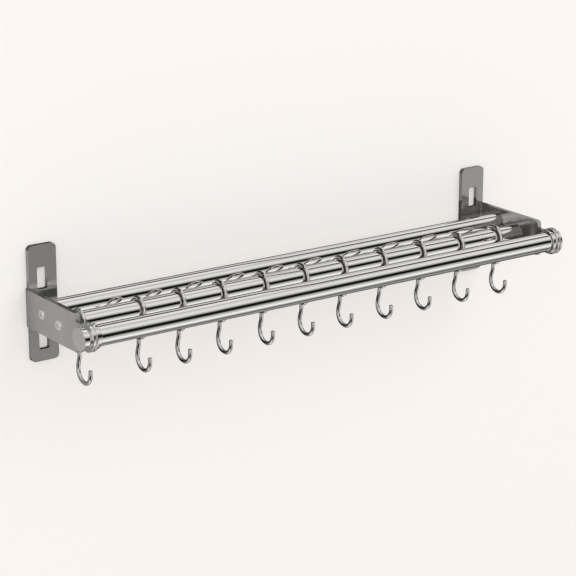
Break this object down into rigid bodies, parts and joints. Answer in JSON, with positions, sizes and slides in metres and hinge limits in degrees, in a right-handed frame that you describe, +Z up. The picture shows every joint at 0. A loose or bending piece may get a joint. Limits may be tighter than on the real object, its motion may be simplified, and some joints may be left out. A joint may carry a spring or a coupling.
{
  "type": "kitchen utensil rail",
  "caption": "Wall-mounted stainless rack: folded side brackets carry two tubes and a front rail, with long-eyed wire hooks that slide on the middle tube.",
  "frame": {"origin": "on the wall plane, midway between the arms and at the arms' middle height", "axes": "+X to the right along the rail, +Y into the wall, +Z up"},
  "size_m": [0.5874, 0.1326, 0.1239],
  "materials": {
    "bracket_steel": "fine satin stainless sheet",
    "tube_steel": "mirror polished stainless tube",
    "collar_steel": "turned and polished stainless",
    "hook_wire": "polished stainless wire"
  },
  "bodies": {
    "rack": {"left_bracket": "bracket_steel", "right_bracket": "bracket_steel", "rear_tube": "tube_steel", "middle_tube": "tube_steel", "front_rail": "tube_steel", "left_collar": "collar_steel", "right_collar": "collar_steel", "left_end_cap": "collar_steel", "right_end_cap": "collar_steel"},
    "hook_01": {"hook_01": "hook_wire"},
    "hook_02": {"hook_02": "hook_wire"},
    "hook_03": {"hook_03": "hook_wire"},
    "hook_04": {"hook_04": "hook_wire"},
    "hook_05": {"hook_05": "hook_wire"},
    "hook_06": {"hook_06": "hook_wire"},
    "hook_07": {"hook_07": "hook_wire"},
    "hook_08": {"hook_08": "hook_wire"},
    "hook_09": {"hook_09": "hook_wire"},
    "hook_10": {"hook_10": "hook_wire"},
    "hook_11": {"hook_11": "hook_wire"}
  },
  "joints": [
    {"name": "hook_01_slide", "type": "slide", "parent": "rack", "child": "hook_01", "axis": [1, 0, 0], "range_m": [-0.0139, 0.0304]},
    {"name": "hook_02_slide", "type": "slide", "parent": "rack", "child": "hook_02", "axis": [1, 0, 0], "range_m": [-0.0304, 0.0204]},
    {"name": "hook_03_slide", "type": "slide", "parent": "rack", "child": "hook_03", "axis": [1, 0, 0], "range_m": [-0.0204, 0.0214]},
    {"name": "hook_04_slide", "type": "slide", "parent": "rack", "child": "hook_04", "axis": [1, 0, 0], "range_m": [-0.0214, 0.0226]},
    {"name": "hook_05_slide", "type": "slide", "parent": "rack", "child": "hook_05", "axis": [1, 0, 0], "range_m": [-0.0226, 0.0221]},
    {"name": "hook_06_slide", "type": "slide", "parent": "rack", "child": "hook_06", "axis": [1, 0, 0], "range_m": [-0.0221, 0.0219]},
    {"name": "hook_07_slide", "type": "slide", "parent": "rack", "child": "hook_07", "axis": [1, 0, 0], "range_m": [-0.0219, 0.0231]},
    {"name": "hook_08_slide", "type": "slide", "parent": "rack", "child": "hook_08", "axis": [1, 0, 0], "range_m": [-0.0231, 0.0231]},
    {"name": "hook_09_slide", "type": "slide", "parent": "rack", "child": "hook_09", "axis": [1, 0, 0], "range_m": [-0.0231, 0.0234]},
    {"name": "hook_10_slide", "type": "slide", "parent": "rack", "child": "hook_10", "axis": [1, 0, 0], "range_m": [-0.0234, 0.0236]},
    {"name": "hook_11_slide", "type": "slide", "parent": "rack", "child": "hook_11", "axis": [1, 0, 0], "range_m": [-0.0236, 0.0304]}
  ]
}
